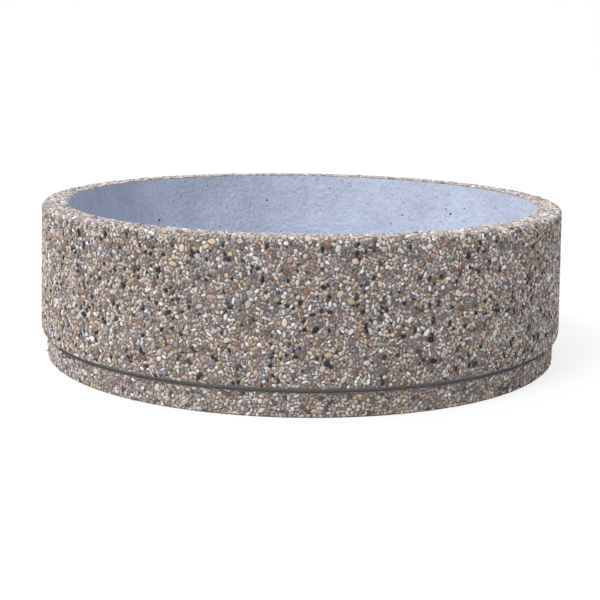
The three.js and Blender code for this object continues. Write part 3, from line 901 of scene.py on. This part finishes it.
def hole_depth(piece):
    """How deep each corner lies behind the cast face of the inside, from 0 to 1."""
    points = corner_points(piece)
    reach = np.hypot(points[:, 0], points[:, 1])
    wall = inside_radius(points[:, 2]) + SKIN
    near = (reach < wall + 4.5 * MM) & (points[:, 2] > FLOOR_TOP + FLOOR_FILLET)
    depth = np.where(near, (reach - wall - 1.0 * MM) / (0.9 * MM), 0)
    return depth.clip(0, 1)


def facing(outline, cavity, finishes):
    """The pebble mix outside and over the rim. Its inner strip is the smooth cement of the inside."""
    piece = copy_of("facing_wall", "facing_cement")
    points = corner_points(piece)
    reach = np.hypot(points[:, 0], points[:, 1])
    outer = reach > PLINTH_RADIUS - 4 * MM  # the outside, and not the back against the core
    points[outer, :2] *= (1 + WIDER / reach[outer])[:, None]
    move_corners(piece, points)
    skin = matrix_skin(outline, (BOWL_BOTTOM - PAST, HEIGHT - RELIEF), 3)
    cut(piece, skin, "INTERSECT")
    cut(piece, cavity)
    discard(skin)
    smooth_shade(piece)
    centres = face_centres(piece)
    reach = np.hypot(centres[:, 0], centres[:, 1])
    finish_faces(piece, finishes, reach < inside_radius(centres[:, 2]) + SMOOTH_STRIP)
    point_value(piece, "depth", np.zeros(len(piece.data.vertices)))
    dress(piece, "exposed_aggregate", "facing_wall")


def core(cavity, finish):
    """The plain grey mix: the inside wall with its air holes, and the floor."""
    piece = copy_of("bowl_core", "inner_bowl")
    points = corner_points(piece)
    points[points[:, 2] > CORE_TOP - 0.05 * MM, 2] = FACING_UNDER_RIM - CLEAR
    move_corners(piece, points)
    holes = air_holes()
    cut(piece, cavity)
    cut(piece, holes)
    discard(holes)
    smooth_shade(piece)
    # This depth drives the painted shade inside the air holes.
    point_value(piece, "depth", hole_depth(piece))
    finish_faces(piece, [finish])
    dress(piece, "grey_concrete", "bowl_core")


def foot(outline, finishes):
    """The foot disc, with smooth cast cement underneath."""
    piece = copy_of("plinth", "foot_cement")
    below, above = -PAST, PLINTH_TOP + PAST
    skin = matrix_skin(outline, (below, above), 5)
    points = corner_points(skin)
    rings = points[:-2].reshape(-1, WALL_COLUMNS, 3)
    rings[0, :, 2], rings[-1, :, 2] = below, above
    move_corners(skin, points)
    cut(piece, skin, "INTERSECT")
    discard(skin)
    smooth_shade(piece)
    finish_faces(piece, finishes, face_centres(piece)[:, 2] < 0.2 * MM)
    point_value(piece, "depth", np.zeros(len(piece.data.vertices)))
    dress(piece, "exposed_aggregate", "plinth")


def mortar(finish):
    """The mortar bed, with the slightly uneven round edge of a struck joint."""
    piece = copy_of("mortar_bed", "mortar_joint")
    rng = np.random.default_rng(11)
    ends = (PLINTH_TOP - PAST, BOWL_BOTTOM + PAST)
    outline = Outline([(MORTAR_RADIUS, z) for z in ends], np.zeros_like)

    def lift(points, s):
        hollow = 1.0 * MM * np.sin(np.pi * s / outline.length)
        return -0.9 * MM - hollow + ripple(points, 14 * MM, rng) * 0.12 * MM

    rows = np.linspace(0, outline.length, 9)
    skin = closed_skin("skin", outline, rows, JOINT_COLUMNS, ends, lift)
    cut(piece, skin, "INTERSECT")
    discard(skin)
    smooth_shade(piece)
    finish_faces(piece, [finish])
    dress(piece, "joint_mortar", "mortar_bed")


# ---------------------------------------------------------------- drains and caps


def sleeve(node, finish):
    """A drain pipe with its sawn end eased."""
    low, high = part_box(node)
    outside = (high.x - low.x) / 2
    inside, ease = outside - SLEEVE_WALL, 0.7 * MM
    loop = [
        (inside, low.z),
        (outside, low.z),
        (outside, high.z - ease),
        (outside - ease, high.z),
        (inside + ease, high.z),
        (inside, high.z - ease),
    ]
    piece = turned("drain_pipe_" + node[-1], loop)
    place_over(piece, node)
    smooth_shade(piece)
    piece.data.materials.append(finish)
    dress(piece, "drain_plastic", node)


def socket_cap(node, finish):
    """A push-in cap with a rounded flange and a dished face."""
    low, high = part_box(node)
    radius, flange = (high.x - low.x) / 2, high.z - CAP_FLANGE
    tiny, edge = 0.2 * MM, 1.2 * MM
    loop = [
        (tiny, low.z),
        (CAP_STEM - 0.8 * MM, low.z),
        (CAP_STEM, low.z + 0.8 * MM),
        (CAP_STEM, flange),
        (radius, flange),
        *arc((radius - edge, high.z - edge), (edge, edge), 0, 90, 6),
        (radius * 0.72, high.z),
        (radius * 0.66, high.z - 0.6 * MM),
        (tiny, high.z - 0.6 * MM),
    ]
    piece = turned("lifting_cap_" + node[-1], loop)
    work = bmesh.new()
    work.from_mesh(piece.data)
    bmesh.ops.remove_doubles(work, verts=work.verts, dist=0.5 * tiny)
    work.to_mesh(piece.data)
    work.free()
    place_over(piece, node)
    smooth_shade(piece, 30)
    piece.data.materials.append(finish)
    dress(piece, "cap_plastic", node)


# ---------------------------------------------------------------- assembly

body, side = body_outline(), plinth_outline()
# The last colour of each cast cement is the painted shade in its air holes and pits.
grey = cast_cement("inner_cement", (198, 204, 219), (50, 46, 52))
under = cast_cement("under_cement", (150, 148, 145), (60, 60, 62))
pebble_cement = matrix_finish()

cavity = cavity_skin()
facing(body, cavity, [pebble_cement, grey])
core(cavity, grey)
discard(cavity)
foot(side, [pebble_cement, under])
mortar(mortar_finish())

stones = [
    scatter(body, BODY_MARGINS, off_the_strip, 101),
    scatter(side, SIDE_MARGINS, nowhere, 102),
]
lay_pebbles([body, side], stones)

drain_grey = plastic_finish("drain_grey", (112, 114, 116), 0.7, 0.5)
cap_black = plastic_finish("cap_black", (48, 48, 50), 0.55, 0.45)
rust, zinc = steel_finish(), zinc_finish()
for node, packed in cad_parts.items():
    if node.startswith("drain_sleeve"):
        sleeve(node, drain_grey)
    elif node.startswith("socket_cap"):
        socket_cap(node, cap_black)
    elif node.startswith(("wall_", "floor_mesh", "plinth_mesh", "lifting_socket")):
        packed.data.materials.clear()
        packed.data.materials.append(zinc if node.startswith("lifting") else rust)

# ---------------------------------------------------------------- floor, light and camera

FLOOR_RINGS = (30.0, 6.0, 1.5, PLINTH_RADIUS - 12 * MM)  # the last is just inside the foot's edge
FLOOR_GLOW = 0.78  # of white, so that the ground looks as pale as the background
FLOOR_SHADE = 0.24  # the rest, which takes the shadow
FLOOR_BOUNCE = 0.8  # how white it is to the light that reaches the planter from it


def empty_tree(owner):
    """Clears a material's or world's nodes, and gives what makes a node and what links two."""
    owner.use_nodes = True
    tree = owner.node_tree
    tree.nodes.clear()

    def add(kind):
        return tree.nodes.new("ShaderNode" + kind)

    return add, tree.links.new


def ground():
    """A white floor that keeps a faint shadow, and lets the camera look through from underneath.

    It stops just inside the foot's edge, so that light reaches the underside too.
    """
    reach = np.array(FLOOR_RINGS)[:, None]
    angle = np.linspace(0, TURN, 96, endpoint=False)
    points = np.stack([reach * np.cos(angle), reach * np.sin(angle), 0 * reach * angle], -1)
    corners = grid_faces(len(reach), len(angle))
    plane = new_piece("ground", points.reshape(-1, 3), corners.ravel(), np.full(len(corners), 4))
    material = bpy.data.materials.new("white_ground")
    add, link = empty_tree(material)
    seen, face = add("LightPath"), add("NewGeometry")
    glow, matt, bounce = add("Emission"), add("BsdfDiffuse"), add("BsdfDiffuse")
    glow.inputs["Strength"].default_value = FLOOR_GLOW
    matt.inputs["Color"].default_value = (FLOOR_SHADE, FLOOR_SHADE, FLOOR_SHADE, 1)
    bounce.inputs["Color"].default_value = (FLOOR_BOUNCE, FLOOR_BOUNCE, FLOOR_BOUNCE, 1)
    both, by_ray, by_side = add("AddShader"), add("MixShader"), add("MixShader")
    clear, out = add("BsdfTransparent"), add("OutputMaterial")
    link(glow.outputs[0], both.inputs[0])
    link(matt.outputs[0], both.inputs[1])
    link(seen.outputs["Is Camera Ray"], by_ray.inputs[0])
    link(bounce.outputs[0], by_ray.inputs[1])
    link(both.outputs[0], by_ray.inputs[2])
    link(face.outputs["Backfacing"], by_side.inputs[0])
    link(by_ray.outputs[0], by_side.inputs[1])
    link(clear.outputs[0], by_side.inputs[2])
    link(by_side.outputs[0], out.inputs["Surface"])
    plane.data.materials.append(material)


SKY_LEVEL, SKY_ABOVE = 0.39, 0.76  # the fill from level with the ground, and how much more from overhead
SKY_LEFT = 0.75  # how much stronger it is on the left
SKY_COLOUR = (0.91, 0.95, 1.0, 1)


def sky():
    """White where the camera looks at it, and a soft fill that is stronger from above and the left."""
    world = bpy.data.worlds.new("studio")
    bpy.context.scene.world = world
    add, link = empty_tree(world)

    def math_of(operation, first, second):
        made = add("Math")
        made.operation = operation
        for socket, value in zip(made.inputs, (first, second)):
            if isinstance(value, bpy.types.NodeSocket):
                link(value, socket)
            else:
                socket.default_value = value
        return made.outputs[0]

    seen, place, split = add("LightPath"), add("TexCoord"), add("SeparateXYZ")
    fill, white = add("Background"), add("Background")
    mix, out = add("MixShader"), add("OutputWorld")
    link(place.outputs["Generated"], split.inputs[0])
    height = math_of("MAXIMUM", split.outputs["Z"], 0.0)
    level = math_of("ADD", math_of("MULTIPLY", height, SKY_ABOVE), SKY_LEVEL)
    left = math_of("SUBTRACT", 1.0, math_of("MULTIPLY", split.outputs["X"], SKY_LEFT))
    link(math_of("MULTIPLY", level, left), fill.inputs["Strength"])
    fill.inputs["Color"].default_value = SKY_COLOUR
    white.inputs["Color"].default_value = (1, 1, 1, 1)
    glossy = math_of("MAXIMUM", seen.outputs["Is Glossy Ray"], seen.outputs["Is Transmission Ray"])
    link(math_of("MAXIMUM", seen.outputs["Is Camera Ray"], glossy), mix.inputs[0])
    link(fill.outputs[0], mix.inputs[1])
    link(white.outputs[0], mix.inputs[2])
    link(mix.outputs[0], out.inputs["Surface"])


def lamp(name, towards, strength, spread, shade):
    """A broad, far lamp that shines along a direction."""
    data = bpy.data.lights.new(name, "SUN")
    data.energy, data.angle, data.color = strength, math.radians(spread), shade
    light = bpy.data.objects.new(name, data)
    light.rotation_mode = "QUATERNION"
    light.rotation_quaternion = Vector(towards).to_track_quat("-Z", "Y")
    bpy.context.collection.objects.link(light)


KEY_TOWARDS = (0.40, 0.42, -0.81)
KEY_STRENGTH, KEY_SPREAD, KEY_COLOUR = 1.35, 20, (1.0, 0.96, 0.95)

CAMERA_PLACE = (-0.001, -2.808, 0.694)
CAMERA_PITCH, CAMERA_ROLL = math.radians(11.775), math.radians(0.838)  # down, and to the left
FOCAL_PIXELS, PICTURE_PIXELS = 1213.7, 600


def camera():
    """The photograph's own viewpoint."""
    data = bpy.data.cameras.new("camera")
    data.sensor_width = 36
    data.lens = data.sensor_width * FOCAL_PIXELS / PICTURE_PIXELS
    eye = bpy.data.objects.new("camera", data)
    level = Matrix.Rotation(math.pi / 2 - CAMERA_PITCH, 4, "X")
    eye.matrix_world = Matrix.Translation(CAMERA_PLACE) @ level @ Matrix.Rotation(CAMERA_ROLL, 4, "Z")
    bpy.context.collection.objects.link(eye)
    bpy.context.scene.camera = eye


ground()
sky()
lamp("key", KEY_TOWARDS, KEY_STRENGTH, KEY_SPREAD, KEY_COLOUR)
camera()

bpy.context.scene.view_settings.view_transform = "Standard"
